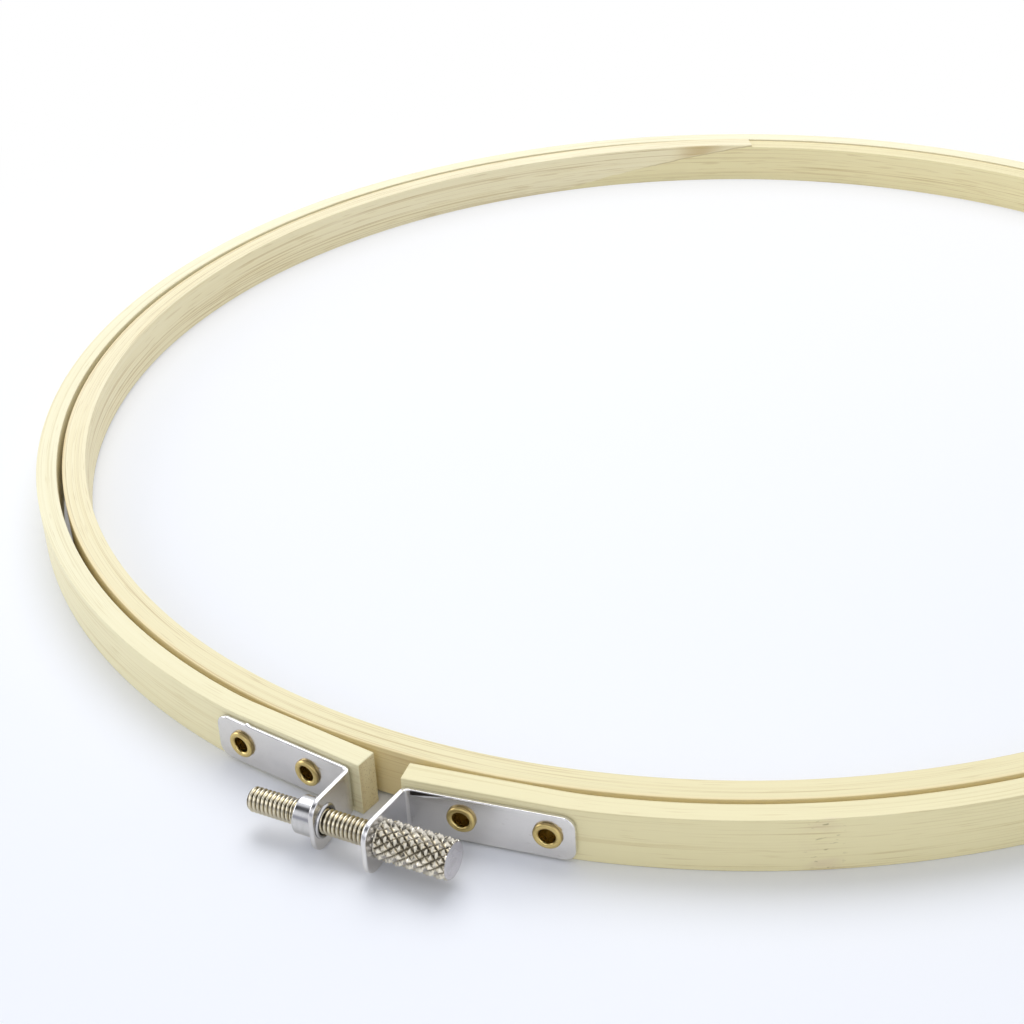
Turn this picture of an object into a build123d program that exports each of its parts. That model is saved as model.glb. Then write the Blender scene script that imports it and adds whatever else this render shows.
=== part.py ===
"""Bamboo embroidery hoop: a split outer hoop, a closed inner hoop and a screw clamp.

Millimetres, +Z up. The origin is on the window's axis, at the outer hoop's mid-height,
so the hoop lies on a table at z = -outer_height / 2 and the screw's axis is in the plane
z = 0. The clamp is at -Y, with the thumb screw's head towards +X. Sides of the gap are
numbered -1 for the side with the threaded collar and 1 for the side with the head.
"""
from build123d import *
from math import atan2, cos, degrees, radians, sin, sqrt
import os

# Outer hoop: one bamboo strip, bent round and left open at the clamp.
outer_radius = 130.0
outer_thickness = 3.7
outer_height = 9.1
gap_width = 7.0
edge_ease = 0.2

# The brackets' flat leaves hold the strip's two ends straight.
flat_middle_from_gap = 18.3
flat_inset = 0.4
flat_run_in_radius = 60.0

# Inner hoop: one strip closed by a glued scarf, whose upper end stands a little proud.
hoop_clearance = 0.75
hoop_setback = 0.3
inner_thickness = 4.3
inner_height = 8.4
inner_drop = 0.2
scarf_azimuth = 108.7
scarf_length = 46.0
scarf_step = 0.5
scarf_skew = 15.0

# Clamp brackets: steel sheet, with a leaf on the strip and an ear that stands out from it.
sheet_thickness = 0.8
bend_radius = 0.6
leaf_height = 7.6
collar_leaf_below_screw = 0.05
head_leaf_below_screw = 0.4
collar_leaf_end_from_gap = 30.2
head_leaf_end_from_gap = 29.4
leaf_corner_radius = 2.0
collar_ear_from_gap = 4.7
head_ear_from_gap = 3.8
ear_margin = 0.2
ear_corner_radius = 2.6
collar_ear_past_screw = 3.1
head_ear_past_screw = 4.3

# Eyelets that rivet each leaf to the strip.
eyelet_near_from_gap = 12.8
eyelet_pitch = 12.7
eyelet_bore_radius = 1.25
eyelet_wall = 0.35
eyelet_flange_radius = 2.2
eyelet_flange_rise = 0.2
eyelet_clench_radius = 2.1
eyelet_clench_thickness = 0.35

# Thumb screw, and the threaded collar swaged into its ear.
screw_radius = 1.9
screw_axis_out = 7.8
screw_tip_from_gap = 17.1
screw_tip_chamfer = 0.45
head_radius = 3.1
head_length = 11.6
head_chamfer = 0.2
collar_radius = 2.85
collar_length = 3.3
collar_chamfer = 0.25
spigot_radius = 2.4
swage_radius = 2.7
swage_rise = 0.3
thread_countersink = 0.25

# Clearances.
seat_clearance = 0.02
screw_clearance = 0.05
overrun = 1.0

half_height = outer_height / 2
half_gap = gap_width / 2
ring_centre = Vector(0, -hoop_setback)
inner_radius = outer_radius - outer_thickness - hoop_clearance
window_radius = inner_radius - inner_thickness
eyelet_tube_radius = eyelet_bore_radius + eyelet_wall
ear_height = outer_height - 2 * ear_margin

# What differs between the two brackets, by side of the gap.
ear_from_gap = {-1: collar_ear_from_gap, 1: head_ear_from_gap}
ear_past_screw = {-1: collar_ear_past_screw, 1: head_ear_past_screw}
leaf_end_from_gap = {-1: collar_leaf_end_from_gap, 1: head_leaf_end_from_gap}
leaf_level = {-1: -collar_leaf_below_screw, 1: -head_leaf_below_screw}

# The end flats in plan: the angle of a flat's middle from the gap, its distance from the
# ring's centre, and the arc of smaller radius that runs in from the hoop's own curve.
flat_angle = degrees(flat_middle_from_gap / outer_radius)
flat_distance = outer_radius - flat_inset
run_in_out = flat_distance - flat_run_in_radius
run_in_along = sqrt((outer_radius - flat_run_in_radius) ** 2 - run_in_out**2)
run_in_angle = degrees(atan2(run_in_along, run_in_out))


def flat_normal(side):
    """Unit vector out of the end flat on one side of the gap."""
    return Vector(side * sin(radians(flat_angle)), -cos(radians(flat_angle)))


def flat_run(side):
    """Unit vector along the end flat on one side, towards the gap."""
    return Vector(-side * cos(radians(flat_angle)), -sin(radians(flat_angle)))


def on_flat(side, from_gap, depth=0.0):
    """Point at a distance from the gap's middle and a depth below the flat's outer face."""
    middle = ring_centre + flat_normal(side) * (flat_distance - depth)
    along = (side * middle.X - from_gap) / cos(radians(flat_angle))
    return middle + flat_run(side) * along


screw_axis_y = on_flat(1, half_gap).Y - screw_axis_out


def turned(outline):
    """Solid turned about the X axis from points (x, radius)."""
    return revolve(make_face(Polyline(*outline, close=True)), axis=Axis.X)


def rod(start, end, radius):
    """Round bar on the X axis between two stations."""
    return turned([(start, 0), (start, radius), (end, radius), (end, 0)])


def strip_side(depth):
    """One long side of the open strip in plan, at a depth below its outer face."""
    run_in = flat_run_in_radius - depth
    turn = flat_angle + run_in_angle
    edges = [CenterArc(ring_centre, outer_radius - depth, turn - 90, 360 - 2 * turn)]
    for side in (-1, 1):
        hub = ring_centre + flat_normal(side) * run_in_out - flat_run(side) * run_in_along
        facing = side * flat_angle - 90
        edges.append(CenterArc(hub, run_in, facing, side * run_in_angle))
        edges.append(Line(hub + flat_normal(side) * run_in, on_flat(side, half_gap, depth)))
    return edges


def eyelet_frames(side):
    """A frame for each eyelet of one bracket: on the leaf's outer face, X out of the leaf."""
    frames = []
    for from_gap in (eyelet_near_from_gap, eyelet_near_from_gap + eyelet_pitch):
        station = on_flat(side, from_gap, -sheet_thickness - seat_clearance)
        frames.append(Plane(origin=station, x_dir=flat_normal(side), z_dir=(0, 0, 1)))
    return frames


def make_outer_hoop():
    """The open strip, with a hole through each end flat and a recess inside for each eyelet."""
    ends = [
        Line(on_flat(side, half_gap), on_flat(side, half_gap, outer_thickness))
        for side in (-1, 1)
    ]
    strip = extrude(
        make_face(strip_side(0.0) + strip_side(outer_thickness) + ends),
        amount=half_height,
        both=True,
    )
    rims = [edge for edge in strip.edges() if abs(edge.center().Z) > half_height - edge_ease]
    strip = chamfer(rims, edge_ease)
    inside = -(sheet_thickness + seat_clearance + outer_thickness)
    recess_floor = inside + eyelet_clench_thickness + 2 * seat_clearance
    hole = rod(inside - overrun, overrun, eyelet_tube_radius + seat_clearance)
    hole += rod(inside - overrun, recess_floor, eyelet_clench_radius + seat_clearance)
    for frame in eyelet_frames(-1) + eyelet_frames(1):
        strip -= frame * hole
    return strip


def scarf_wedge(level, inset):
    """Long thin wedge on a level of the strip, highest where the scarf's upper end stops."""
    azimuth = radians(scarf_azimuth)
    skewed = radians(scarf_azimuth + scarf_skew)
    tip = Vector(cos(azimuth), sin(azimuth)) * (inner_radius - inner_thickness / 2)
    view = Plane(
        origin=tip,
        x_dir=Vector(-sin(skewed), cos(skewed)),
        z_dir=Vector(cos(skewed), sin(skewed)),
    )
    outline = Polyline((0, level), (0, level + scarf_step), (scarf_length, level), close=True)
    slab = extrude(view * make_face(outline), amount=scarf_length / 2, both=True)
    band = Cylinder(inner_radius - inset, 2 * outer_height)
    return slab & (band - Cylinder(window_radius + inset, 2 * outer_height))


def make_inner_hoop():
    """The closed strip: a ring whose upper scarf end climbs above the lower one."""
    top = half_height - inner_drop
    ring = Cylinder(inner_radius, inner_height) - Cylinder(window_radius, inner_height)
    rims = [edge for edge in ring.edges() if edge.geom_type == GeomType.CIRCLE]
    ring = Pos(0, 0, top - inner_height / 2) * chamfer(rims, edge_ease)
    return ring + scarf_wedge(top, edge_ease) - scarf_wedge(top - inner_height, -overrun)


def sheet_plan(side):
    """Plan of a bracket's sheet: the ear along -Y, a bend, and the leaf along the end flat."""
    to_ear = Vector(0, -1)
    to_leaf = -flat_run(side)
    between = radians(90 + flat_angle)
    corner = on_flat(side, ear_from_gap[side], -seat_clearance)
    ear_tip = corner + to_ear * (screw_axis_out + ear_past_screw[side] + overrun)
    leaf_tip = corner + to_leaf * 2 * leaf_end_from_gap[side]
    ear_offset = Vector(side * sheet_thickness, 0)
    leaf_offset = flat_normal(side) * sheet_thickness
    front_corner = corner + (to_ear + to_leaf) * (sheet_thickness / sin(between))
    back = FilletPolyline(ear_tip, corner, leaf_tip, radius=bend_radius + sheet_thickness)
    front = FilletPolyline(
        ear_tip + ear_offset, front_corner, leaf_tip + leaf_offset, radius=bend_radius
    )
    ends = [Line(ear_tip, ear_tip + ear_offset), Line(leaf_tip, leaf_tip + leaf_offset)]
    return make_face(back.edges() + front.edges() + ends)


def ear_blank(side):
    """The ear's outline seen along the screw: a tongue that swells to a round-cornered end."""
    view = Plane(origin=(0, 0, 0), x_dir=(0, 1, 0), z_dir=(1, 0, 0))
    root = on_flat(side, ear_from_gap[side]).Y - sheet_thickness
    end = screw_axis_y - ear_past_screw[side]
    half_leaf = Vector(0, leaf_height / 2)
    middle = Vector(root, leaf_level[side])
    foot = Line(middle - half_leaf, middle + half_leaf)
    rise = ear_height / 2 - ear_corner_radius
    corner = Circle(ear_corner_radius)
    outline = foot.edges()
    for height in (-rise, rise):
        outline += (Pos(end + ear_corner_radius, height) * corner).edges()
    return extrude(view * make_hull(outline), amount=leaf_end_from_gap[side], both=True)


def leaf_blank(side):
    """The leaf's outline seen square to its flat, with the far corners rounded."""
    length = leaf_end_from_gap[side] / cos(radians(flat_angle))
    sheet = Pos(length / 2, 0) * Rectangle(length, leaf_height)
    far = [corner for corner in sheet.vertices() if corner.X > length / 2]
    middle = on_flat(side, 0) + Vector(0, 0, leaf_level[side])
    view = Plane(origin=middle, x_dir=-flat_run(side), z_dir=flat_normal(side))
    depth = 2 * sheet_thickness + bend_radius
    return extrude(view * fillet(far, leaf_corner_radius), amount=depth)


def make_bracket(side, ear_hole_radius):
    """A bent sheet bracket, with a hole in its ear and one in its leaf for each eyelet."""
    sheet = extrude(sheet_plan(side), amount=outer_height, both=True)
    bracket = sheet & (leaf_blank(side) + ear_blank(side))
    reach = leaf_end_from_gap[side]
    bracket -= Pos(0, screw_axis_y, 0) * rod(-reach, reach, ear_hole_radius)
    for frame in eyelet_frames(side):
        bracket -= frame * rod(-outer_thickness, overrun, eyelet_tube_radius + seat_clearance)
    return bracket


def make_eyelet(frame):
    """A brass eyelet: rolled flange on the leaf, tube, and a clenched foot inside the strip."""
    foot = seat_clearance - (sheet_thickness + seat_clearance + outer_thickness)
    foot_top = foot + eyelet_clench_thickness
    flange_top = seat_clearance + eyelet_flange_rise
    bead_radius = (eyelet_flange_radius - eyelet_bore_radius) / 2
    roll = ThreePointArc(
        (flange_top, eyelet_bore_radius),
        (flange_top + bead_radius, eyelet_bore_radius + bead_radius),
        (flange_top, eyelet_flange_radius),
    )
    body = Polyline(
        (flange_top, eyelet_flange_radius),
        (seat_clearance, eyelet_flange_radius),
        (seat_clearance, eyelet_tube_radius),
        (foot_top, eyelet_tube_radius),
        (foot_top, eyelet_clench_radius),
        (foot, eyelet_clench_radius),
        (foot, eyelet_bore_radius),
        (flange_top, eyelet_bore_radius),
    )
    return frame * revolve(make_face(body.edges() + roll.edges()), axis=Axis.X)


def make_threaded_collar():
    """The round nut on its ear: a thick body, a spigot through the ear and a swaged lip."""
    bore = screw_radius + screw_clearance
    mouth = bore + thread_countersink
    lip_face = -collar_ear_from_gap + seat_clearance + swage_rise
    lip_back = -collar_ear_from_gap + seat_clearance
    shoulder = -collar_ear_from_gap - sheet_thickness - seat_clearance
    end = shoulder - collar_length
    return Pos(0, screw_axis_y, 0) * turned([
        (end, mouth),
        (end, collar_radius - collar_chamfer),
        (end + collar_chamfer, collar_radius),
        (shoulder, collar_radius),
        (shoulder, spigot_radius),
        (lip_back, spigot_radius),
        (lip_back, swage_radius),
        (lip_face, swage_radius - swage_rise),
        (lip_face, mouth),
        (lip_face - thread_countersink, bore),
        (end + thread_countersink, bore),
    ])


def make_thumb_screw():
    """The screw, turned in one piece with its cylindrical head."""
    tip = -screw_tip_from_gap
    head = head_ear_from_gap + sheet_thickness + screw_clearance
    end = head + head_length
    return Pos(0, screw_axis_y, 0) * turned([
        (tip, 0),
        (tip, screw_radius - screw_tip_chamfer),
        (tip + screw_tip_chamfer, screw_radius),
        (head, screw_radius),
        (head, head_radius - head_chamfer),
        (head + head_chamfer, head_radius),
        (end - head_chamfer, head_radius),
        (end, head_radius - head_chamfer),
        (end, 0),
    ])


def make_parts():
    """Every piece of the hoop by its node's name."""
    parts = {
        "outer_hoop": make_outer_hoop(),
        "inner_hoop": make_inner_hoop(),
        "collar_bracket": make_bracket(-1, spigot_radius + seat_clearance),
        "head_bracket": make_bracket(1, screw_radius + screw_clearance),
        "threaded_collar": make_threaded_collar(),
        "thumb_screw": make_thumb_screw(),
    }
    for side, bracket in ((-1, "collar_side"), (1, "head_side")):
        for place, frame in zip(("near", "far"), eyelet_frames(side)):
            parts[f"{bracket}_eyelet_{place}"] = make_eyelet(frame)
    return parts


if __name__ == "__main__":
    os.makedirs("parts", exist_ok=True)
    for node, solid in make_parts().items():
        export_step(solid, f"parts/{node}.step")
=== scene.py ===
"""Dressed model of a bamboo embroidery hoop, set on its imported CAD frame.

Every size is in millimetres, also in the places that the meshes carry for their finishes.
Only the points, lamps and camera are turned to metres. The frame is the CAD's: +Z up, the
clamp at -Y, the thumb screw's head towards +X.
"""

import logging
import math
from collections.abc import Callable, Sequence
from dataclasses import dataclass
from enum import Enum
from functools import partial, reduce

import bmesh
import bpy
from mathutils import Matrix, Vector, geometry


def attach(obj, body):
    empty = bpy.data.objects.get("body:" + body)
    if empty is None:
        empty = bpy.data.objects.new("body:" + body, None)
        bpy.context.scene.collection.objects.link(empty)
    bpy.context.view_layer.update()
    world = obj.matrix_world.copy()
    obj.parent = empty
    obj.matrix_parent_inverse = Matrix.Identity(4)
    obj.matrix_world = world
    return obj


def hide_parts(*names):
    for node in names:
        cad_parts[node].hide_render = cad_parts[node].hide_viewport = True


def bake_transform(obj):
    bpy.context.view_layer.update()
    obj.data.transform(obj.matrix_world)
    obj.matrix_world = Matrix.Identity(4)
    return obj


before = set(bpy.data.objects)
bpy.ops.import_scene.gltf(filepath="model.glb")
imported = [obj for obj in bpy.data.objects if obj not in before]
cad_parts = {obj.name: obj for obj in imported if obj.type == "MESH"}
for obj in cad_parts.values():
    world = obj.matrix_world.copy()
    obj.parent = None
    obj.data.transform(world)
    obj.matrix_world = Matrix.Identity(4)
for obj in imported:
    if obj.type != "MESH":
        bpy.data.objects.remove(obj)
log = logging.getLogger("embroidery_hoop")

MM = 0.001
WELD = 0.0005
Pair = tuple[float, float]
Spot = tuple[float, float, float]
Colour = tuple[float, float, float]
Socket = bpy.types.NodeSocket
Fed = Socket | float | Sequence[float]


class Side(Enum):
    """The two ends of the open strip."""

    COLLAR = -1
    HEAD = 1


class Body(Enum):
    """The moving bodies of the frame."""

    OUTER = "outer"
    HEAD_END = "head_end"
    SCREW = "screw"
    INNER = "inner"


class Slot(Enum):
    """The record's material slots."""

    OUTER_BAMBOO = "outer_bamboo"
    INNER_BAMBOO = "inner_bamboo"
    SHEET = "bracket_steel"
    BRASS = "eyelet_brass"
    COLLAR = "collar_zinc"
    SCREW = "screw_nickel"


@dataclass(frozen=True)
class Grain:
    """A noise, in repeats per millimetre along each axis, and the mask that is cut from it."""

    scale: Spot
    octaves: float = 2.0
    low: float = 0.0
    high: float = 1.0
    amount: float = 1.0
    rough: float = 0.5


class NodeBench:
    """A node tree, with short calls for the nodes that the finishes use."""

    def __init__(self, owner: bpy.types.Material | bpy.types.World) -> None:
        """Open the node tree of a new material or world.

        Args:
            owner: The material or world.
        """
        owner.use_nodes = True
        self.owner, self.tree = owner, owner.node_tree
        nodes = self.tree.nodes
        self.shader = nodes.get("Principled BSDF") or nodes["Background"]

    def feed(self, socket: Socket, value: Fed) -> None:
        """Link or set an input.

        Args:
            socket: The input.
            value: A socket to link, or a plain number or colour.
        """
        if isinstance(value, Socket):
            self.tree.links.new(value, socket)
        elif isinstance(value, (int, float)):
            socket.default_value = value
        else:
            socket.default_value = (*value, 1.0)[: len(socket.default_value)]

    def node(self, kind: str, feeds: dict, **settings: object) -> bpy.types.Node:
        """Add one node.

        Args:
            kind: The node's type name without its ShaderNode prefix.
            feeds: Inputs by name or number.
            settings: Properties of the node.

        Returns:
            The new node.
        """
        node = self.tree.nodes.new(f"ShaderNode{kind}")
        for key, value in settings.items():
            setattr(node, key, value)
        for key, value in feeds.items():
            self.feed(node.inputs[key], value)
        return node

    def sum(self, how: str, *values: Fed) -> Socket:
        """Work out one number by a Math node's operation."""
        return self.node("Math", dict(enumerate(values)), operation=how).outputs[0]

    def times(self, *values: Fed) -> Socket:
        """Multiply values with one another."""
        return reduce(partial(self.sum, "MULTIPLY"), values)

    def away(self, value: Fed, spot: float) -> Socket:
        """Work out how far a value is from a fixed one."""
        return self.sum("ABSOLUTE", self.sum("SUBTRACT", value, spot))

    def place(self, place: Socket | str) -> Socket:
        """Give a piece's own coordinates.

        Args:
            place: The coordinates, or the name of the mesh attribute that holds them.

        Returns:
            The coordinates.
        """
        if isinstance(place, str):
            return self.node("Attribute", {}, attribute_name=place).outputs["Vector"]
        return place

    def stretched(self, place: Socket | str, scale: Spot) -> Socket:
        """Scale a piece's own coordinates axis by axis."""
        feeds = {0: self.place(place), 1: scale}
        return self.node("VectorMath", feeds, operation="MULTIPLY").outputs[0]

    def axis(self, place: Socket | str, axis: str) -> Socket:
        """Read one of a piece's own coordinates: X, Y or Z."""
        return self.node("SeparateXYZ", {0: self.place(place)}).outputs[axis]

    def noise(self, place: Socket | str, grain: Grain) -> Socket:
        """Draw a grain's noise over a piece's own coordinates."""
        feeds = {"Vector": self.stretched(place, grain.scale), "Detail": grain.octaves}
        return self.node("TexNoise", feeds | {"Scale": 1.0, "Roughness": grain.rough}).outputs[0]

    def ramp(self, value: Fed, low: float, high: float, top: float = 1.0) -> Socket:
        """Turn a value into a mask that slopes smoothly from 0 at low to its top at high."""
        feeds = {"Value": value, "From Min": low, "From Max": high, "To Min": 0.0, "To Max": top}
        return self.node("MapRange", feeds, interpolation_type="SMOOTHSTEP").outputs[0]

    def cut(self, noise: Fed, grain: Grain) -> Socket:
        """Cut a grain's mask from its noise."""
        return self.ramp(noise, grain.low, grain.high, grain.amount)

    def mask(self, place: Socket | str, grain: Grain) -> Socket:
        """Draw a grain's noise and cut its mask."""
        return self.cut(self.noise(place, grain), grain)

    def spread(self, value: Fed, ends: Pair) -> Socket:
        """Stretch a value from 0 to 1 between two ends."""
        feeds = {"Value": value, "To Min": ends[0], "To Max": ends[1]}
        return self.node("MapRange", feeds).outputs[0]

    def mix(self, mask: Fed, under: Fed, over: Fed) -> Socket:
        """Lay one colour over another where a mask shows it."""
        return self.node("Mix", {0: mask, 6: under, 7: over}, data_type="RGBA").outputs[2]

    def relief(self, height: Fed, depth: float, strength: float) -> None:
        """Give the surface a fine relief, whose depth is its full height in millimetres."""
        feeds = {"Height": height, "Distance": depth * MM, "Strength": strength}
        self.feed(self.shader.inputs["Normal"], self.node("Bump", feeds).outputs["Normal"])

    def set(self, **values: Fed) -> bpy.types.Material | bpy.types.World:
        """Set the shader's own inputs.

        Args:
            values: Inputs by name, with an underscore for each space.

        Returns:
            The finished material or world.
        """
        for key, value in values.items():
            self.feed(self.shader.inputs[key.replace("_", " ")], value)
        return self.owner


def bench_for(name: str) -> NodeBench:
    """Open the node tree of a new material."""
    return NodeBench(bpy.data.materials.new(name))


@dataclass(frozen=True)
class CulmJoint:
    """The trace of a bamboo stem's joint across a lath."""

    along: float
    reach: float = 4.2
    streak_reach: float = 23.1
    skin: Pair = (0.5, 0.1)
    below_skin: float = 0.25
    patches: Grain = Grain((0.16, 0.4, 0.42), 1.0, 0.45, 0.65, 0.5)
    streaks: Grain = Grain((0.045, 3.2, 2.6), 1.0, 0.58, 0.68, 0.6)
    pits: Grain = Grain((0.8, 2.6, 2.1), 0.6, 0.65, 0.74, 0.6)
    patch: Colour = (0.72, 0.6, 0.42)
    streak: Colour = (0.58, 0.46, 0.22)
    pit: Colour = (0.3, 0.25, 0.1)

    def drawn(self, bench: NodeBench, colour: Fed) -> Socket:
        """Draw short dark pits across the fibres, and streaks that run from them.

        Args:
            bench: The material being made.
            colour: The colour so far.

        Returns:
            The colour with the joint in it.
        """
        off = bench.away(bench.axis("lath", "X"), self.along)
        skin = bench.ramp(bench.axis("lath", "Y"), *self.skin)
        near = bench.times(bench.ramp(off, self.reach, 0.0), skin)
        depth = bench.sum("MULTIPLY_ADD", skin, 1 - self.below_skin, self.below_skin)
        wide = bench.times(bench.ramp(off, self.streak_reach, 0.0), depth)
        marks = (
            (self.patches, near, self.patch),
            (self.streaks, wide, self.streak),
            (self.pits, near, self.pit),
        )
        for grain, reach, tint in marks:
            colour = bench.mix(bench.times(bench.mask("lath", grain), reach), colour, tint)
        return colour


@dataclass(frozen=True)
class GluedScarf:
    """The scarf that closes a lath: its upper end climbs over the lower one on a glue line."""

    lath_length: float = 2 * math.pi * 125.55
    foot: float = -4.05
    height: float = 8.4
    climb: float = 0.5
    climb_length: float = 46.0
    glue_top: float = 4.25
    glue_slope: float = -0.168
    glue_ends: Pair = (31.0, 20.0)
    glue_width: Pair = (0.22, 0.03)
    glue_amount: float = 0.55
    glue: Colour = (0.42, 0.31, 0.14)
    inside: Pair = (3.9, 4.25)
    stain_middle: float = 12.5
    stain_reach: float = 8.5
    stain_rise: float = 0.35
    stain_amount: float = 0.62
    stain: Colour = (0.5, 0.34, 0.12)
    wobble: Grain = Grain((0.3, 0.5, 0.5))
    wobble_height: float = 0.6
    blur: float = 0.02

    def lift(self, along: float, height: float) -> float:
        """Work out how far a point of the lath is raised: not at its foot, fully at its top."""
        rise = self.climb * max(0.0, 1 - along / self.climb_length)
        return rise * (height - self.foot) / self.height

    def above_glue(self, bench: NodeBench) -> Socket:
        """Find the height above the glue line, which falls from the top of the upper end's tip.

        Args:
            bench: The material being made.

        Returns:
            The height, with a wobble as a glue line has.
        """
        line = bench.sum("MULTIPLY_ADD", bench.axis("lath", "X"), self.glue_slope, self.glue_top)
        above = bench.sum("SUBTRACT", bench.axis("lath", "Z"), line)
        wobble = bench.sum("SUBTRACT", bench.noise("lath", self.wobble), 0.5)
        return bench.sum("MULTIPLY_ADD", wobble, self.wobble_height, above)

    def wood_place(self, bench: NodeBench) -> Socket:
        """Find where in the lath's wood a point lies.

        Args:
            bench: The material being made.

        Returns:
            The place: under the glue line it is in the lath's other end.
        """
        under = bench.ramp(self.above_glue(bench), self.blur, -self.blur)
        slope = -self.climb / self.climb_length
        rise = bench.sum("MULTIPLY_ADD", bench.axis("lath", "X"), slope, self.climb)
        share = (1 / self.height, -self.foot / self.height)
        part = bench.sum("MULTIPLY_ADD", bench.axis("lath", "Z"), *share)
        shift = {0: bench.times(under, self.lath_length), 2: bench.times(rise, part, under)}
        feeds = {0: bench.place("lath"), 1: bench.node("CombineXYZ", shift).outputs[0]}
        return bench.node("VectorMath", feeds, operation="ADD").outputs[0]

    def drawn(self, bench: NodeBench, colour: Fed) -> Socket:
        """Draw the glue line down the inner face, and the stain above it.

        Args:
            bench: The material being made.
            colour: The colour so far.

        Returns:
            The colour with the scarf in it.
        """
        along, above = bench.axis("lath", "X"), self.above_glue(bench)
        inside = bench.ramp(bench.axis("lath", "Y"), *self.inside)
        line = bench.ramp(bench.away(above, 0.0), *self.glue_width, self.glue_amount)
        spread = bench.ramp(bench.away(along, self.stain_middle), self.stain_reach, 0.0)
        rise = bench.ramp(above, 0.0, self.stain_rise)
        stain = bench.times(spread, rise, inside, self.stain_amount)
        glue = bench.times(line, bench.ramp(along, *self.glue_ends), inside)
        return bench.mix(glue, bench.mix(stain, colour, self.stain), self.glue)


@dataclass(frozen=True)
class BambooFinish:
    """Planed bamboo with fibres along the lath, read from its coordinates before bending."""

    name: str
    pale: Colour
    far_pale: Colour
    far: Pair
    fibre: Colour
    line: Colour
    line_amount: float
    near: Pair = (110.0, 20.0)
    near_tone: float = 0.0
    rind: Colour = (0.84, 0.63, 0.3)
    rind_depth: float = 0.0
    rind_amount: float = 0.4
    joint: CulmJoint | None = None
    scarf: GluedScarf | None = None
    lines: Grain = Grain((0.0042, 1.15, 0.82), 1.5, rough=0.45)
    line_width: float = 0.035
    breaks: Grain = Grain((0.026, 0.26, 0.24), 1.0, 0.36, 0.6)
    fibres: Grain = Grain((0.017, 2.3, 1.9), 4.0, 0.36, 0.78, 0.42, 0.62)
    pores: Grain = Grain((0.15, 4.3, 3.3), 0.0, 0.66, 0.8, 0.28)
    cloud: Grain = Grain((0.011, 0.07, 0.06), 2.0, 0.35, 0.75, 0.22)
    line_sink: float = -0.8
    relief: Pair = (0.035, 0.5)
    roughness: Pair = (0.44, 0.66)

    def material(self) -> bpy.types.Material:
        """Make the material.

        Returns:
            The material.
        """
        bench = bench_for(self.name)
        place = self.scarf.wood_place(bench) if self.scarf else bench.place("lath")
        fibres = bench.noise(place, self.fibres)
        off_line = bench.away(bench.noise(place, self.lines), 0.5)
        thin = bench.ramp(off_line, self.line_width, 0.0)
        line = bench.times(thin, bench.mask(place, self.breaks))
        along = bench.axis(place, "X")
        near = bench.ramp(along, *self.near, self.near_tone)
        tone = bench.sum("MAXIMUM", bench.ramp(along, *self.far), near)
        colour = bench.mix(tone, self.pale, self.far_pale)
        for mask, tint in (
            (bench.cut(fibres, self.fibres), self.fibre),
            (bench.mask(place, self.cloud), self.fibre),
            (bench.times(line, self.line_amount), self.line),
            (bench.mask(place, self.pores), self.line),
        ):
            colour = bench.mix(mask, colour, tint)
        if self.rind_depth:
            edge = bench.ramp(bench.axis("lath", "Y"), self.rind_depth, 0.0, self.rind_amount)
            colour = bench.mix(edge, colour, self.rind)
        for trace in (self.joint, self.scarf):
            if trace:
                colour = trace.drawn(bench, colour)
        bench.relief(bench.sum("MULTIPLY_ADD", line, self.line_sink, fibres), *self.relief)
        return bench.set(Base_Color=colour, Roughness=bench.spread(fibres, self.roughness))


@dataclass(frozen=True)
class EndGrainFinish:
    """Sawn bamboo end: the cut bundles show as dots, closer together towards the rind."""

    name: str = "sawn_bamboo_end"
    ground: Colour = (0.8, 0.7, 0.43)
    light: Colour = (0.84, 0.76, 0.5)
    bundle: Colour = (0.45, 0.34, 0.15)
    rind: Colour = (0.62, 0.5, 0.26)
    rind_depth: float = 1.4
    rind_amount: float = 0.5
    roughness: float = 0.72
    haze: Grain = Grain((0.0, 0.7, 0.42), 3.0, 0.3, 0.75, 0.5)
    bundles: Grain = Grain((0.0, 3.4, 2.5), low=0.42, high=0.12, amount=0.6)
    relief: Pair = (0.06, 0.5)

    def material(self) -> bpy.types.Material:
        """Make the material.

        Returns:
            The material.
        """
        bench = bench_for(self.name)
        feeds = {"Vector": bench.stretched("lath", self.bundles.scale), "Scale": 1.0}
        dots = bench.node("TexVoronoi", feeds).outputs["Distance"]
        colour = bench.mix(bench.mask("lath", self.haze), self.ground, self.light)
        colour = bench.mix(bench.cut(dots, self.bundles), colour, self.bundle)
        rind = bench.ramp(bench.axis("lath", "Y"), self.rind_depth, 0.0, self.rind_amount)
        bench.relief(dots, *self.relief)
        colour = bench.mix(rind, colour, self.rind)
        return bench.set(Base_Color=colour, Roughness=self.roughness)


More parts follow.
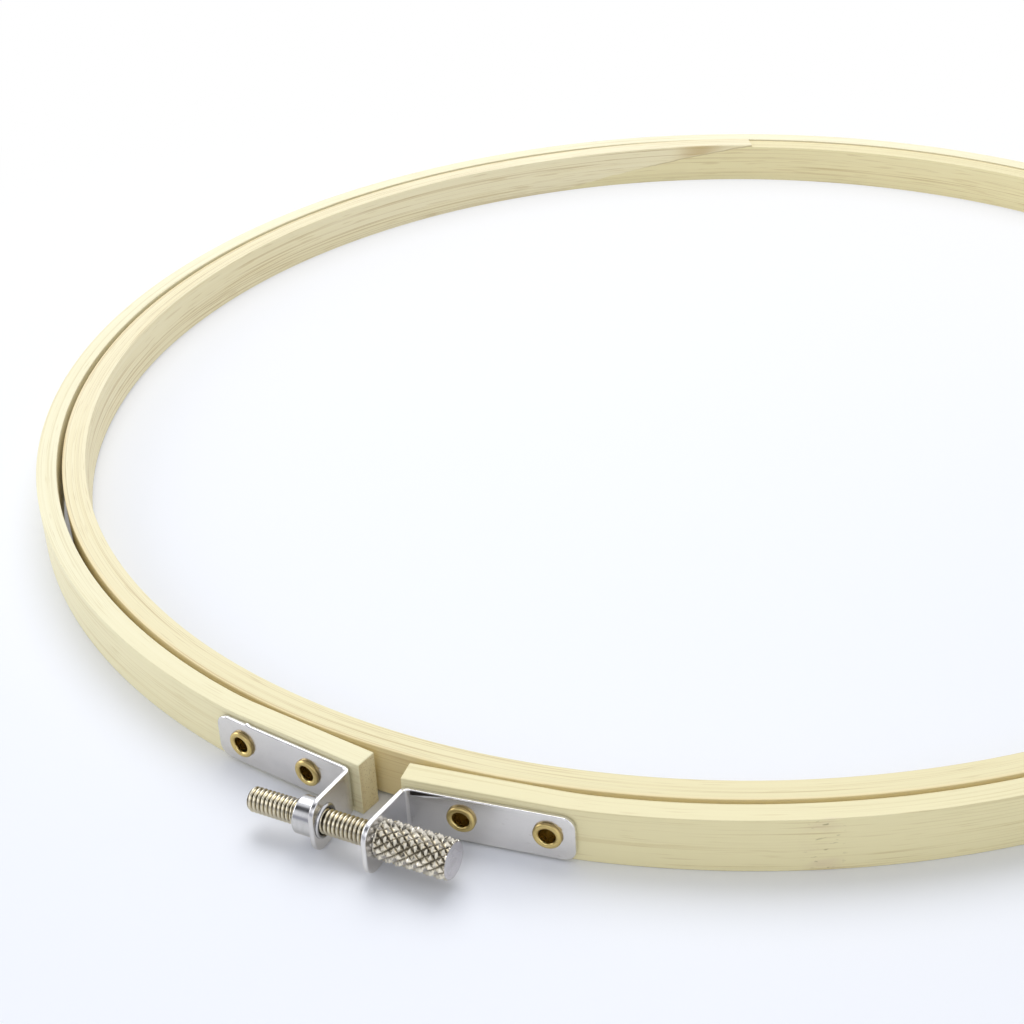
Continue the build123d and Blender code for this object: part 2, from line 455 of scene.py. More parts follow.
@dataclass(frozen=True)
class SheetFinish:
    """Zinc-plated sheet with faint rolling lines, handling marks and specks.

    The burr shadow is painted shadow in the dark wedge between the top edge and a burr: the level
    of the top edge, the burr's drop below it at the fold, and the burr's length.
    """

    name: str = "zinc_plated_sheet"
    colour: Colour = (0.7, 0.7, 0.73)
    dull: Colour = (0.59, 0.595, 0.635)
    speck: Colour = (0.3, 0.29, 0.28)
    # Colour of the painted burr shadow.
    dark: Colour = (0.085, 0.08, 0.08)
    burr_shadow: Spot | None = None
    rolled: Grain = Grain((0.06, 3.8, 0.9), 3.0, rough=0.6)
    smear: Grain = Grain((0.26, 0.34, 0.3), 3.0, 0.35, 0.8, 0.45)
    specks: Grain = Grain((1.5, 1.9, 1.5), 1.0, 0.68, 0.8, 0.3)
    smear_relief: float = 0.6
    relief: Pair = (0.006, 0.3)
    roughness: Pair = (0.2, 0.3)
    under_top: Pair = (0.05, 0.16)
    past_fold: Pair = (0.05, 0.3)
    from_middle: Pair = (0.3, 0.39)
    below_burr: Pair = (0.46, 0.42)

    def material(self) -> bpy.types.Material:
        """Make the material.

        Returns:
            The material.
        """
        bench = bench_for(self.name)
        smear = bench.noise("sheet", self.smear)
        colour = bench.mix(bench.cut(smear, self.smear), self.colour, self.dull)
        colour = bench.mix(bench.mask("sheet", self.specks), colour, self.speck)
        if self.burr_shadow:
            # Painted shadow in the dark wedge between the top edge and the burr.
            colour = bench.mix(self.burr_shaded(bench), colour, self.dark)
        rolled = bench.noise("sheet", self.rolled)
        height = bench.sum("MULTIPLY_ADD", smear, self.smear_relief, rolled)
        bench.relief(height, *self.relief)
        rough = bench.spread(smear, self.roughness)
        return bench.set(Base_Color=colour, Metallic=1.0, Roughness=rough)

    def burr_shaded(self, bench: NodeBench) -> Socket:
        """Mask the painted burr shadow on the flat of the face, where the sheet's own place is at a
        height out.

        Args:
            bench: The material being made.

        Returns:
            The wedge's mask, which spares the burr itself.
        """
        top, drop, length = self.burr_shadow
        along, out = bench.axis("sheet", "X"), bench.axis("sheet", "Z")
        over = bench.sum("MULTIPLY_ADD", along, -drop / length, drop - top)
        over = bench.sum("ADD", bench.axis("sheet", "Y"), over)
        edges = (
            (over, self.under_top),
            (along, self.past_fold),
            (out, self.from_middle),
            (out, self.below_burr),
        )
        return bench.times(*(bench.ramp(value, *ends) for value, ends in edges))


@dataclass(frozen=True)
class TurnedFinish:
    """Turned metal, plated or bare: tool-mark rings, with painted shade and grime in low places.

    They are full below the low radius and gone above the high one; a rim gets painted shade too.
    """

    name: str
    colour: Colour
    grime_and_shade: Colour
    low: float
    high: float
    roughness: Pair = (0.12, 0.3)
    # Radius of a rim that gets painted contact shade; 0 for none.
    rim: float = 0.0
    shaded_rim_width: float = 0.16
    grime_and_shade_amount: float = 0.85
    shaded_rim_amount: float = 0.8
    rings: Grain = Grain((9.0, 9.0, 0.0))
    smear: Grain = Grain((0.7, 0.7, 0.35), 3.0, 0.4, 0.8, 0.3)
    relief: Pair = (0.008, 0.3)

    def material(self) -> bpy.types.Material:
        """Make the material.

        Returns:
            The material.
        """
        bench = bench_for(self.name)
        smear = bench.noise("turning", self.smear)
        radius = bench.axis("turning", "Y")
        # Painted shade, with grime, darkens the low places: grooves, knurl valleys, bores and
        # recesses.
        shaded_low_places = bench.ramp(radius, self.high, self.low, self.grime_and_shade_amount)
        masks = [bench.cut(smear, self.smear), shaded_low_places]
        # Painted contact shade on a rim, such as the edge of an eyelet's flange.
        if self.rim:
            shaded_rim_starts = self.rim - self.shaded_rim_width
            masks.append(bench.ramp(radius, shaded_rim_starts, self.rim, self.shaded_rim_amount))
        colour = self.colour
        for mask in masks:
            colour = bench.mix(mask, colour, self.grime_and_shade)
        bench.relief(bench.noise("turning", self.rings), *self.relief)
        rough = bench.spread(smear, self.roughness)
        return bench.set(Base_Color=colour, Metallic=1.0, Roughness=rough)


def new_object(name: str, data: bpy.types.ID) -> bpy.types.Object:
    """Put a mesh, a curve, a lamp or a camera into the scene.

    Args:
        name: The object's name.
        data: What it holds.

    Returns:
        The object.
    """
    made = bpy.data.objects.new(name, data)
    bpy.context.scene.collection.objects.link(made)
    return made


def finished(name: str, mesh: bmesh.types.BMesh, weld: bool = False) -> bpy.types.Object:
    """Turn an edit mesh into a piece of the scene.

    Args:
        name: The piece's name.
        mesh: The edit mesh, which is used up.
        weld: Whether points that coincide become one.

    Returns:
        The piece.
    """
    if weld:
        bmesh.ops.remove_doubles(mesh, verts=mesh.verts, dist=WELD * MM)
    bmesh.ops.recalc_face_normals(mesh, faces=mesh.faces)
    made = bpy.data.meshes.new(name)
    mesh.to_mesh(made)
    mesh.free()
    return new_object(name, made)


def crisp(piece: bpy.types.Object, angle: float, *finishes: bpy.types.Material) -> None:
    """Lay finishes on a piece, and shade it smoothly but for its creases.

    Args:
        piece: The piece.
        angle: The least angle of a crease, in degrees.
        finishes: Materials to add to those that it has.
    """
    for finish in finishes:
        piece.data.materials.append(finish)
    piece.data.shade_smooth()
    piece.data.set_sharp_from_angle(angle=math.radians(angle))
    piece.modifiers.new("even_shading", "WEIGHTED_NORMAL").keep_sharp = True


def hand_over(
    piece: bpy.types.Object, body: Body, node: str, ride: bool = True
) -> None:
    """Attach a finished piece to its body if it rides, and hide the CAD node that it stands for.

    Args:
        piece: The piece.
        body: The body it rides on.
        node: The node that it replaces.
        ride: Whether it rides rigidly on its body; if not, it gets no body.
    """
    if ride:
        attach(piece, body.value)
    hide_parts(node)
    log.info("%s: %d faces, for %s", piece.name, len(piece.data.polygons), node)


def arc_points(middle: Pair, radius: float, start: float, turn: float, steps: int) -> list[Pair]:
    """Lay points on an arc, both its ends among them.

    Args:
        middle: The arc's centre.
        radius: Its radius.
        start: Angle of the first point, in degrees.
        turn: Angle from the first to the last, in degrees.
        steps: Steps from the first to the last.

    Returns:
        The points.
    """
    angles = [math.radians(start + turn * step / steps) for step in range(steps + 1)]
    return [(middle[0] + radius * math.cos(a), middle[1] + radius * math.sin(a)) for a in angles]


def circle(middle: Pair, radius: float) -> list[Pair]:
    """Lay 48 points on a circle."""
    return arc_points(middle, radius, 0.0, 360.0, 48)[:-1]


@dataclass
class Station:
    """A place on a lath's outer face, seen in plan."""

    point: Vector
    out: Vector
    along: float = 0.0


@dataclass(frozen=True)
class HoopPlan:
    """The plan of both hoops, which every other class takes its places from."""

    outer_radius: float = 130.0
    outer_thickness: float = 3.7
    outer_height: float = 9.1
    half_gap: float = 3.5
    flat_middle: float = 18.3
    flat_inset: float = 0.4
    run_in_radius: float = 60.0
    setback: float = 0.3
    inner_radius: float = 125.55
    inner_thickness: float = 4.3
    screw_out: float = 7.8
    seat: float = 0.02
    sheet: float = 0.8
    ring_steps: int = 300
    run_in_steps: int = 8

    @property
    def turn(self) -> float:
        """Angle of the flat's middle from the gap."""
        return self.flat_middle / self.outer_radius

    @property
    def hub_out(self) -> float:
        """Distance of the run-in's hub from the ring's centre, along the flat's normal."""
        return self.outer_radius - self.flat_inset - self.run_in_radius

    @property
    def hub_along(self) -> float:
        """Distance of the run-in's hub from the flat's normal."""
        return math.sqrt((self.outer_radius - self.run_in_radius) ** 2 - self.hub_out**2)

    @property
    def centre(self) -> Vector:
        """Centre of the outer hoop."""
        return Vector((0.0, -self.setback))

    @property
    def screw_y(self) -> float:
        """Y of the screw's axis."""
        return self.on_flat(Side.HEAD, self.half_gap).y - self.screw_out

    def normal(self, side: Side) -> Vector:
        """Unit vector out of a side's end flat."""
        return Vector((side.value * math.sin(self.turn), -math.cos(self.turn)))

    def run(self, side: Side) -> Vector:
        """Unit vector along a side's end flat, towards the gap."""
        return Vector((-side.value * math.cos(self.turn), -math.sin(self.turn)))

    def on_flat(self, side: Side, from_gap: float, depth: float = 0.0) -> Vector:
        """Find a place on or in an end flat.

        Args:
            side: The strip's end.
            from_gap: Distance from the gap's middle along X.
            depth: Depth below the outer face.

        Returns:
            The place in plan.
        """
        reach = self.outer_radius - self.flat_inset - depth
        middle = self.centre + self.normal(side) * reach
        along = (side.value * middle.x - from_gap) / math.cos(self.turn)
        return middle + self.run(side) * along

    def arc(
        self, hub: Vector, radius: float, start: float, end: float, steps: int
    ) -> list[Station]:
        """Lay stations on an arc, without its first point.

        Args:
            hub: Centre of the arc.
            radius: Its radius.
            start: Angle where it starts.
            end: Angle where it ends.
            steps: How many stations.

        Returns:
            The stations.
        """
        angles = [start + (end - start) * step / steps for step in range(1, steps + 1)]
        outs = [Vector((math.cos(angle), math.sin(angle))) for angle in angles]
        return [Station(hub + out * radius, out) for out in outs]

    def flat_stations(self, side: Side) -> list[Station]:
        """Lay stations along an end flat.

        Args:
            side: The strip's end.

        Returns:
            The stations from the cut end to where the flat meets the run-in.
        """
        start, out = self.on_flat(side, self.half_gap), self.normal(side)
        length = (self.flat_middle - self.half_gap) / math.cos(self.turn) + self.hub_along
        steps = [0.0, 0.1, 0.25, 1.0]
        steps += [1.0 + (length - 1.0) * share / 12 for share in range(1, 13)]
        return [Station(start - self.run(side) * step, out) for step in steps]

    def outer_line(self) -> list[Station]:
        """Lay the open strip's outer face.

        Returns:
            Its stations, from the collar's end round to the head's.
        """
        run_in = math.atan2(self.hub_along, self.hub_out)
        facing, last = -math.pi / 2 - self.turn, -2.5 * math.pi + self.turn
        collar_hub, head_hub = (
            self.centre + self.normal(side) * self.hub_out - self.run(side) * self.hub_along
            for side in Side
        )
        begin, finish = facing - run_in, last + run_in
        line = self.flat_stations(Side.COLLAR)
        line += self.arc(collar_hub, self.run_in_radius, facing, begin, self.run_in_steps)
        line += self.arc(self.centre, self.outer_radius, begin, finish, self.ring_steps)
        line += self.arc(head_hub, self.run_in_radius, finish, last, self.run_in_steps)
        line += self.flat_stations(Side.HEAD)[-2::-1]
        for before, here in zip(line, line[1:]):
            here.along = before.along + (here.point - before.point).length
        return line


@dataclass(frozen=True)
class Lath:
    """A bamboo strip's cross-section, and the making of a bent strip from it."""

    thickness: float
    foot: float
    top: float
    ease: float = 0.18
    rounds: int = 4
    planks: int = 5

    def outline(self) -> list[Pair]:
        """Lay out the section corner by corner.

        Returns:
            Its points, as depth and height.
        """
        near, deep = self.ease, self.thickness - self.ease
        high, low = self.top - self.ease, self.foot + self.ease
        corners = (((near, high), 180), ((deep, high), 90), ((deep, low), 0), ((near, low), -90))
        points: list[Pair] = []
        for middle, start in corners:
            corner = arc_points(middle, self.ease, start, -90.0, self.rounds)
            if points:
                last, first = Vector(points[-1]), Vector(corner[0])
                shares = [share / self.planks for share in range(1, self.planks)]
                points += [tuple(last.lerp(first, share)) for share in shares]
            points += corner
        return points

    def bent(
        self,
        name: str,
        line: list[Station],
        shape: Callable[[float, float, float], Spot],
        ends: tuple[bool, bool] = (False, False),
        closed: bool = False,
    ) -> bpy.types.Object:
        """Sweep the section along a line.

        Args:
            name: The piece's name.
            line: Stations of the outer face.
            shape: Turns (along, depth, height) into (shift along, depth, height) of the point.
            ends: Whether the first and the last station are sawn ends.
            closed: Whether the last station meets the first.

        Returns:
            The strip. Its loops carry "lath", their place in the straight lath.
        """
        mesh = bmesh.new()
        place = mesh.loops.layers.float_vector.new("lath")
        rows = []
        for station in line:
            sideways = Vector((-station.out.y, station.out.x))
            row = []
            for depth, height in self.outline():
                shift, deep, high = shape(station.along, depth, height)
                flat = station.point - station.out * deep + sideways * shift
                vertex = mesh.verts.new((flat.x * MM, flat.y * MM, high * MM))
                row.append((vertex, (station.along, depth, height)))
            rows.append(row)

        def face(corners: list[tuple[bmesh.types.BMVert, Spot]], finish: int) -> None:
            """Add a face whose loops carry their places.

            Args:
                corners: Vertices with their places.
                finish: Number of its finish.
            """
            made = mesh.faces.new([vertex for vertex, _ in corners])
            made.material_index = finish
            for loop, (_, spot) in zip(made.loops, corners):
                loop[place] = spot

        for low, high in zip(rows, rows[1:] + rows[:1] if closed else rows[1:]):
            for spot in range(len(low)):
                after = (spot + 1) % len(low)
                face([low[spot], low[after], high[after], high[spot]], 0)
        for sawn, row in zip(ends, (rows[0], rows[-1])):
            if sawn:
                face(row, 1)
        return finished(name, mesh, closed)


def eased(profile: list[Pair], radius: float) -> list[Pair]:
    """Round the corners of an open profile.

    Args:
        profile: Points (station, radius) in order.
        radius: The rounding, which short edges make smaller.

    Returns:
        The rounded profile.
    """
    points = [Vector(point) for point in profile]
    rounded = [tuple(points[0])]
    for before, here, after in zip(points, points[1:], points[2:]):
        back, on = before - here, after - here
        cut = min(radius, back.length * 0.45, on.length * 0.45)
        first, last = here + back.normalized() * cut, here + on.normalized() * cut
        for share in (0.0, 0.25, 0.5, 0.75, 1.0):
            low, high = first.lerp(here, share), here.lerp(last, share)
            rounded.append(tuple(low.lerp(high, share)))
    return [*rounded, tuple(points[-1])]


def ring(
    mesh: bmesh.types.BMesh, place: Matrix, station: float, radii: Sequence[float]
) -> list[bmesh.types.BMVert]:
    """Add a ring of points round the X axis.

    Args:
        mesh: The edit mesh.
        place: Where the axis lies.
        station: The ring's place along the axis.
        radii: Each point's distance from the axis, evenly round it.

    Returns:
        The points, which carry "turning": station, radius and angle.
    """
    layers = mesh.verts.layers.float_vector
    layer = layers.get("turning") or layers.new("turning")
    points = []
    for step, radius in enumerate(radii):
        angle = 2 * math.pi * step / len(radii)
        spot = place @ Vector((station, radius * math.cos(angle), radius * math.sin(angle)))
        point = mesh.verts.new(spot * MM)
        point[layer] = (station, radius, angle)
        points.append(point)
    return points


def skin(
    mesh: bmesh.types.BMesh, rings: list[list], closed: bool = False, finish: int = 0, cell: int = 0
) -> None:
    """Join rings of points with faces.

    Args:
        mesh: The edit mesh.
        rings: The rings in order.
        closed: Whether the last ring meets the first.
        finish: Number of the faces' finish.
        cell: Points from groove to groove of a knurl, whose faces are split along its grooves.
    """
    for row, (low, high) in enumerate(zip(rings, rings[1:] + rings[:1] if closed else rings[1:])):
        for step in range(len(low)):
            after = (step + 1) % len(low)
            corners = [low[step], low[after], high[after], high[step]]
            if cell and (row + step + 1) % cell == 0:
                corners = corners[1:] + corners[:1]
            for pick in ((0, 1, 2), (0, 2, 3)) if cell else ((0, 1, 2, 3),):
                mesh.faces.new([corners[i] for i in pick]).material_index = finish


def turned(
    name: str, profile: list[Pair], place: Matrix, closed: bool, segments: int = 72
) -> bpy.types.Object:
    """Turn a profile about its X axis.

    Args:
        name: The piece's name.
        profile: Points (station, radius) in order.
        place: Where the axis lies.
        closed: Whether the last point meets the first.
        segments: Steps round the axis.

    Returns:
        The piece.
    """
    mesh = bmesh.new()
    rings = [ring(mesh, place, station, [radius] * segments) for station, radius in profile]
    skin(mesh, rings, closed)
    return finished(name, mesh, True)


def cut_from(piece: bpy.types.Object, cutters: list[bpy.types.Object]) -> None:
    """Cut pieces out of another, and take the cutters away.

    Args:
        piece: The piece that is cut.
        cutters: Closed meshes.
    """
    for cutter in cutters:
        cut = piece.modifiers.new("cut", "BOOLEAN")
        cut.operation, cut.solver, cut.object = "DIFFERENCE", "EXACT", cutter
    graph = bpy.context.evaluated_depsgraph_get()
    made = bpy.data.meshes.new_from_object(piece.evaluated_get(graph))
    piece.modifiers.clear()
    old, piece.data = piece.data, made
    bpy.data.meshes.remove(old)
    for cutter in cutters:
        bpy.data.objects.remove(cutter)


@dataclass
class EyeletRow:
    """The two brass eyelets of one bracket."""

    plan: HoopPlan
    side: Side
    near: float = 12.8
    pitch: float = 12.7
    bore: float = 1.25
    tube: float = 1.6
    flange: float = 2.2
    rise: float = 0.2
    squash: float = 0.92
    foot: float = 2.1
    foot_thickness: float = 0.35
    # The second colour is painted shade with grime in the bore; the flange's rim at 2.2 gets
    # painted contact shadow.
    finish: TurnedFinish = TurnedFinish(
        "rolled_brass", (0.66, 0.53, 0.23), (0.38, 0.27, 0.115), 0.95, 1.36, (0.2, 0.36), 2.2
    )

    @property
    def inside(self) -> float:
        """Station of the strip's inner face, from the leaf's outer face."""
        return -(self.plan.sheet + self.plan.seat + self.plan.outer_thickness)

    @property
    def hole(self) -> float:
        """Radius of the hole that an eyelet's tube goes through."""
        return self.tube + self.plan.seat

    def places(self) -> list[tuple[str, Matrix]]:
        """Find the two eyelets.

        Returns:
            Each one's name, and its place with X out of the leaf.
        """
        found = []
        out = self.plan.normal(self.side)
        turn = Matrix(((out.x, -out.y, 0), (out.y, out.x, 0), (0, 0, 1))).to_4x4()
        for name, from_gap in (("near", self.near), ("far", self.near + self.pitch)):
            spot = self.plan.on_flat(self.side, from_gap, -self.plan.sheet - self.plan.seat)
            found.append((name, Matrix.Translation((spot.x, spot.y, 0)) @ turn))
        return found

    def drills(self) -> list[bpy.types.Object]:
        """Make the strip's cutters.

        Returns:
            For each eyelet a through hole, with a recess for its clenched foot.
        """
        recess = self.foot + self.plan.seat
        floor = self.inside + self.foot_thickness + 2 * self.plan.seat
        start, end = self.inside - 1.0, 1.0
        profile = [(start, 0.0), (start, recess), (floor, recess), (floor, self.hole)]
        profile += [(end, self.hole), (end, 0.0)]
        return [turned(f"drill_{name}", profile, place, False, 48) for name, place in self.places()]

    def profile(self) -> list[Pair]:
        """Lay out the section of one eyelet.

        Returns:
            Its rolled flange, tube and clenched foot, as (station, radius).
        """
        bead, seat = (self.flange - self.bore) / 2, self.plan.seat
        roll = [
            (seat + self.rise + out * self.squash, self.bore + bead - across)
            for across, out in arc_points((0.0, 0.0), bead, 0.0, 180.0, 12)
        ]
        foot = self.inside + seat
        back = foot + self.foot_thickness
        lip = [(seat, self.flange - 0.1), (seat, self.tube), (back, self.tube)]
        clench = [(back, self.foot - 0.08), (foot + 0.1, self.foot), (foot, self.foot - 0.12)]
        return roll + lip + clench + [(foot, self.bore + 0.12)]

    def build(self) -> None:
        """Make and hand over both eyelets."""
        metal = self.finish.material()
        bracket = "collar_side" if self.side is Side.COLLAR else "head_side"
        body = Body.OUTER if self.side is Side.COLLAR else Body.HEAD_END
        for name, place in self.places():
            piece = turned(f"{bracket}_rolled_eyelet_{name}", self.profile(), place, True)
            crisp(piece, 50.0, metal)
            hand_over(piece, body, f"{bracket}_eyelet_{name}")


@dataclass
class OuterStrip:
    """The open outer strip, made in two halves."""

    plan: HoopPlan
    eyelets: dict[Side, EyeletRow]
    flex_start: Pair = (60.0, -115.3)
    flex_end: Pair = (29.4, -125.0)
    arris: float = 0.1
    wave_length: float = 37.0
    wave_depth: float = 0.035
    wave_lean: float = 0.2
    ripple_length: float = 11.3
    ripple_depth: float = 0.015
    ripple_start: float = 1.7
    inner_face_share: float = 0.4
    height_shares: Pair = (0.003, 0.004)
    finish: BambooFinish = BambooFinish(
        name="outer_planed_bamboo",
        pale=(0.905, 0.86, 0.63),
        far_pale=(0.86, 0.79, 0.49),
        far=(360.0, 600.0),
        fibre=(0.83, 0.755, 0.48),
        line=(0.58, 0.46, 0.22),
        line_amount=0.3,
        near_tone=0.6,
        joint=CulmJoint(along=749.6),
    )
    sawn: EndGrainFinish = EndGrainFinish()

    def shape(self, length: float, along: float, depth: float, height: float) -> Spot:
        """Let the planed faces waver by a few hundredths, and break each sawn end's arris.

        Args:
            length: The whole strip's length.
            along: Place along the strip.
            depth: Depth below its outer face.
            height: Height from its middle.

        Returns:
            No shift along, and the depth and height moved inwards.
        """
        wave = 0.5 + 0.5 * math.sin(along / self.wave_length + height * self.wave_lean)
        ripple = 0.5 + 0.5 * math.sin(along / self.ripple_length + self.ripple_start)
        middle = self.plan.outer_thickness / 2
        inwards = 1 if depth < middle else -self.inner_face_share
        deep = depth + (self.wave_depth * wave + self.ripple_depth * ripple) * inwards
        high = height * (1 - self.height_shares[1] * ripple - self.height_shares[0] * wave)
        inset = max(0.0, self.arris - min(along, length - along))
        deep += (middle - deep) / middle * inset
        return 0.0, deep, high - high / (self.plan.outer_height / 2) * inset

    def build(self) -> None:
        """Make both halves, drill them and hand them over."""
        line = self.plan.outer_line()
        half = next(i for i, here in enumerate(line) if here.along > line[-1].along / 2)
        top = self.plan.outer_height / 2
        lath = Lath(self.plan.outer_thickness, -top, top)
        shape = partial(self.shape, line[-1].along)
        halves = {
            Side.COLLAR: ("outer_strip_collar_half", line[: half + 1], shape, (True, False)),
            Side.HEAD: ("outer_strip_head_half", line[half:], shape, (False, True)),
        }
        finishes = (self.finish.material(), self.sawn.material())
        for side, details in halves.items():
            piece = lath.bent(*details)
            for finish in finishes:
                piece.data.materials.append(finish)
            cut_from(piece, self.eyelets[side].drills())
            crisp(piece, 30.0)
            if side is Side.HEAD:
                ends = (self.flex_start, self.flex_end)
                start, finish = (Vector((*spot, 0.0)) * MM for spot in ends)
                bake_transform(piece)
            hand_over(piece, Body.OUTER, "outer_hoop", side is Side.COLLAR)


@dataclass
class InnerStrip:
    """The closed inner strip, whose upper scarf end stands a little proud of the lower."""

    plan: HoopPlan
    scarf_azimuth: float = 108.7
    skew: float = 15.0
    skew_fade: float = 12.0
    waves: int = 17
    wave_height: float = 0.02
    stations: int = 320
    finish: BambooFinish = BambooFinish(
        name="inner_planed_bamboo",
        pale=(0.89, 0.82, 0.58),
        far_pale=(0.84, 0.765, 0.47),
        far=(200.0, 400.0),
        fibre=(0.79, 0.69, 0.4),
        line=(0.5, 0.36, 0.15),
        line_amount=0.55,
        rind_depth=0.75,
        scarf=GluedScarf(),
        lines=Grain((0.0042, 1.725, 1.23), 1.5, rough=0.45),
        breaks=Grain((0.026, 0.26, 0.24), 1.0, 0.27, 0.51),
    )

    def shape(self, along: float, depth: float, height: float) -> Spot:
        """Lift and skew the scarf's end, and let the faces waver.

        Args:
            along: Place along the strip from the scarf's upper end.
            depth: Depth below the outer face.
            height: Height from the outer hoop's middle.

        Returns:
            Shift along, depth and height.
        """
        length = self.finish.scarf.lath_length
        near = min(along, length - along)
        lean = (self.plan.inner_thickness / 2 - depth) * math.tan(math.radians(self.skew))
        wave = self.wave_height * math.sin(along / length * 2 * math.pi * self.waves)
        rise = self.finish.scarf.lift(along, height)
        return lean * max(0.0, 1 - near / self.skew_fade), depth + wave, height + rise

    def build(self) -> None:
        """Make the strip and hand it over."""
        radius, scarf = self.plan.inner_radius, self.finish.scarf
        length = scarf.lath_length
        near_tip = {0.4, 1.2, 2.0, length - 0.6}
        steps = near_tip | {length * step / self.stations for step in range(self.stations + 1)}
        line = []
        for along in sorted(steps):
            angle = math.radians(self.scarf_azimuth) + along / radius
            out = Vector((math.cos(angle), math.sin(angle)))
            line.append(Station(out * radius, out, along))
        lath = Lath(self.plan.inner_thickness, scarf.foot, scarf.foot + scarf.height)
        piece = lath.bent("inner_strip", line, self.shape, closed=True)
        crisp(piece, 30.0, self.finish.material())
        hand_over(piece, Body.INNER, "inner_hoop")


@dataclass
class SheetBracket:
    """A bent sheet bracket: punched flat with its holes, then folded at the ear.

    A nick is a spot from the leaf's end and its rise, a burr its drop and its length.
    """

    plan: HoopPlan
    side: Side
    name: str
    ear_from_gap: float
    past_screw: float
    leaf_end: float
    leaf_level: float
    ear_hole: float
    eyelets: EyeletRow
    finish: SheetFinish
    fold: float = 0.6
    leaf_height: float = 7.6
    leaf_round: float = 2.0
    ear_half: float = 4.35
    ear_round: float = 2.6
    edge: float = 0.2
    fold_steps: int = 12
    burr_thickness: float = 0.15
    nick: Pair | None = None
    burr: Pair | None = None

    def __post_init__(self) -> None:
        """Work out the fold's place."""
        angle = math.pi / 2 + self.plan.turn
        self.sheet = self.plan.sheet
        self.to_ear = Vector((0.0, -1.0))
        self.to_leaf = -self.plan.run(self.side)
        self.ear_face = Vector((float(self.side.value), 0.0))
        self.leaf_face = self.plan.normal(self.side)
        self.corner = self.plan.on_flat(self.side, self.ear_from_gap, -self.plan.seat)
        self.outside = self.fold + self.sheet
        self.hub = self.corner + (self.to_ear + self.to_leaf) * (self.outside / math.sin(angle))
        self.tangent = self.outside / math.tan(angle / 2)
        self.bend = math.pi - angle
        self.spread = (self.fold + self.sheet / 2) * self.bend
        self.leaf_top = self.leaf_level + self.leaf_height / 2
        self.leaf_foot = self.leaf_level - self.leaf_height / 2

    def on_leaf(self, from_gap: float) -> float:
        """Place along the flat sheet of a point on the leaf's outer face."""
        beyond = from_gap - self.ear_from_gap - self.sheet * math.sin(self.plan.turn)
        return beyond / math.cos(self.plan.turn) - self.tangent

    def on_ear(self, y: float) -> float:
        """Place along the flat sheet of a point on the ear."""
        return -(self.corner.y - y - self.tangent) - self.spread

    def folded(self, along: float, height: float, out: float) -> Vector:
        """Fold one point of the flat sheet.

        Args:
            along: Place along the sheet, 0 where the leaf ends and the fold starts.
            height: Its height.
            out: Its distance from the sheet's back face.

        Returns:
            Where it lies on the bracket.
        """
        if along >= 0:
            flat = self.corner + self.to_leaf * (self.tangent + along) + self.leaf_face * out
        elif along <= -self.spread:
            beyond = self.tangent - self.spread - along
            flat = self.corner + self.to_ear * beyond + self.ear_face * out
        else:
            turn = -along / self.spread * self.bend
            arm = -self.leaf_face * math.sin(self.bend - turn) - self.ear_face * math.sin(turn)
            flat = self.hub + arm / math.sin(self.bend) * (self.outside - out)
        return Vector((flat.x, flat.y, height))

    def outline(self) -> list[Pair]:
        """Lay out the flat sheet.

        Returns:
            The leaf's outline, and the ear's as a hull round its corners.
        """
        end = self.on_leaf(self.leaf_end + self.sheet * math.sin(self.plan.turn))
        points = []
        for height, facing in ((self.leaf_foot, -90.0), (self.leaf_top, 0.0)):
            middle = (end - self.leaf_round, height - math.copysign(self.leaf_round, height))
            points += arc_points(middle, self.leaf_round, facing, 90.0, 8)
        if self.nick:
            spot, rise = end - self.nick[0], self.nick[1]
            bump = ((-0.6, 0.0), (-0.25, 0.45), (0.1, 1.0), (0.45, 0.35), (0.9, 0.0))
            points += [(spot - step, self.leaf_top + rise * share) for step, share in bump]
        root = self.on_ear(self.corner.y - self.sheet - self.plan.seat)
        tip = self.on_ear(self.plan.screw_y - self.past_screw) + self.ear_round
        level = self.ear_half - self.ear_round
        hull = [(root, self.leaf_foot), (root, self.leaf_top)]
        hull += circle((tip, level), self.ear_round) + circle((tip, -level), self.ear_round)
        hull = [Vector(spot) for spot in hull]
        loop = [hull[index] for index in geometry.convex_hull_2d(hull)]
        top = next(i for i, spot in enumerate(loop) if (spot - hull[1]).length < 1e-6)
        loop = loop[top:] + loop[:top]
        if (loop[1] - hull[0]).length < 1e-6:
            loop = [loop[0], *loop[:0:-1]]
        return points + [tuple(spot) for spot in loop]

    def blank(self) -> bpy.types.Mesh:
        """Punch the flat sheet with its holes, its edges slightly rounded over.

        Returns:
            Its mesh.
        """
        curve = bpy.data.curves.new("blank", "CURVE")
        curve.dimensions, curve.fill_mode = "2D", "BOTH"
        curve.extrude = self.sheet / 2 - self.edge
        curve.bevel_depth, curve.offset, curve.bevel_resolution = self.edge, -self.edge, 2
        row = self.eyelets
        holes = [(self.on_ear(self.plan.screw_y), self.ear_hole)]
        holes += [(self.on_leaf(spot), row.hole) for spot in (row.near, row.near + row.pitch)]
        for ring_points in [self.outline(), *(circle((along, 0.0), r) for along, r in holes)]:
            spline = curve.splines.new("POLY")
            spline.points.add(len(ring_points) - 1)
            for point, (along, height) in zip(spline.points, ring_points):
                point.co = (along, height, 0.0, 1.0)
            spline.use_cyclic_u = True
        holder = new_object("blank", curve)
        graph = bpy.context.evaluated_depsgraph_get()
        made = bpy.data.meshes.new_from_object(holder.evaluated_get(graph))
        bpy.data.objects.remove(holder)
        bpy.data.curves.remove(curve)
        return made

